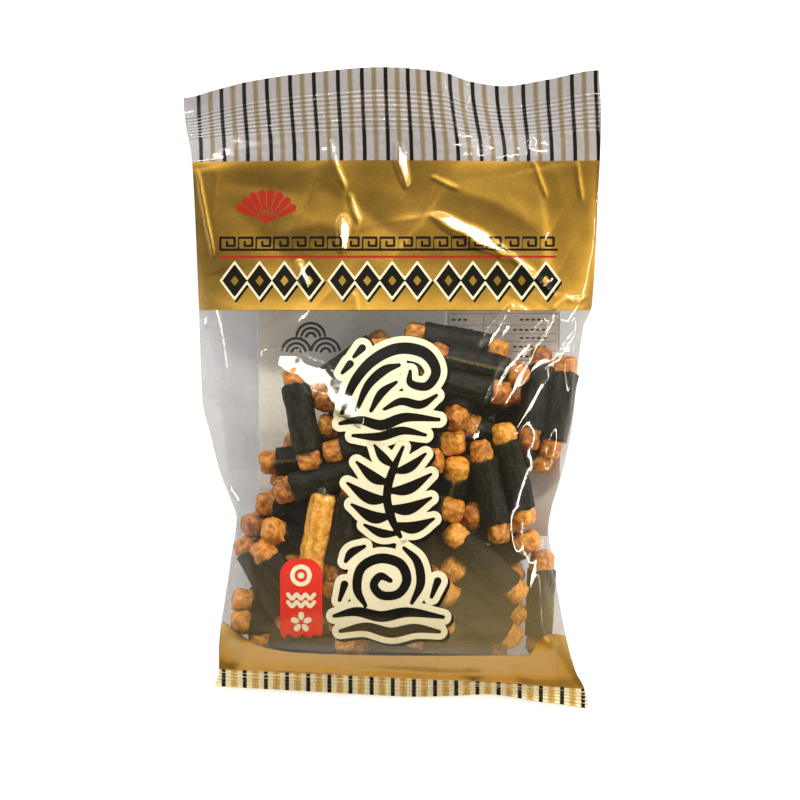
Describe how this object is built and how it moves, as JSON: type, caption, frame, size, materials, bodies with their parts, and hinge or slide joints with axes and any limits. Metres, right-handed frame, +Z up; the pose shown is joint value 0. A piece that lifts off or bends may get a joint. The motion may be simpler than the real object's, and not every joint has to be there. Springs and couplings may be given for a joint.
{
  "type": "pack of rice crackers",
  "caption": "Sealed clear film pillow pack of seaweed-wrapped rice cracker sticks, lying on its back, with a waved empty header, a plump lower body and flat end seals.",
  "frame": {"origin": "on the surface the pack lies on, under the middle of its bounding box", "axes": "+Z up out of the printed front, +Y from the bottom seal towards the header, +X to the right as the front is read"},
  "size_m": [0.1528, 0.2344, 0.0387],
  "materials": {
    "clear_film": "clear glossy polypropylene film, printed on its inside in gold, black and cream, with soy-glazed crackers and dark seaweed showing through"
  },
  "bodies": {
    "root": {"pack": "clear_film"}
  },
  "joints": []
}
